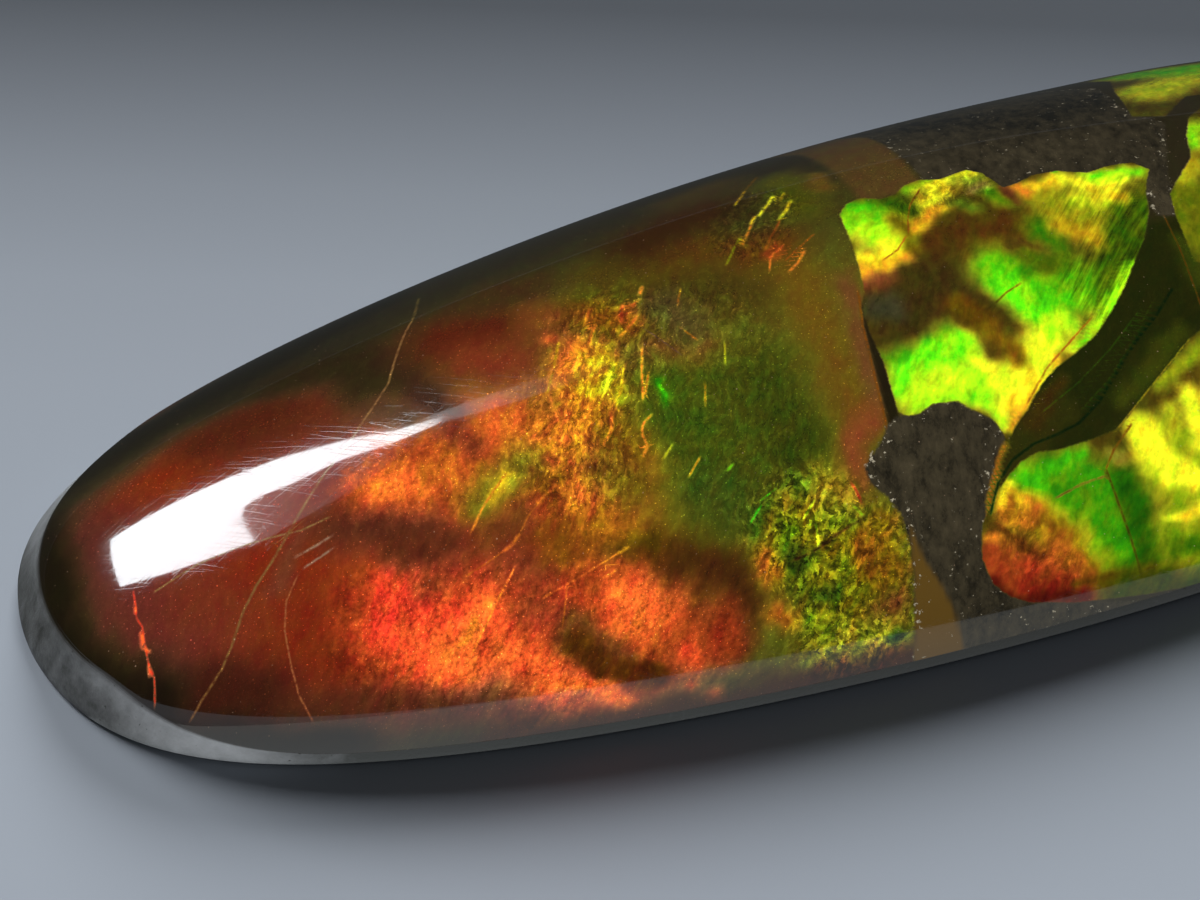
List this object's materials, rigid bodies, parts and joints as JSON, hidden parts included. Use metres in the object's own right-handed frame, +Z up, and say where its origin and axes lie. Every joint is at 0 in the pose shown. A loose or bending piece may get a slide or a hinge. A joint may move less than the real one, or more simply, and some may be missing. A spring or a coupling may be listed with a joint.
{
  "type": "ammolite cabochon",
  "caption": "Long domed cabochon of polished fossil ammonite shell with red, gold and green fire, lying on its flat base.",
  "frame": {"origin": "in the plane of the flat base, under the middle of the bounding box", "axes": "+X along the stone towards its wider end, +Y across it, +Z up through the dome"},
  "size_m": [0.039, 0.0164, 0.006],
  "materials": {
    "ammolite_stone": "polished dome with a matte ground edge and base"
  },
  "bodies": {
    "root": {"ammolite_stone": "ammolite_stone"}
  },
  "joints": []
}
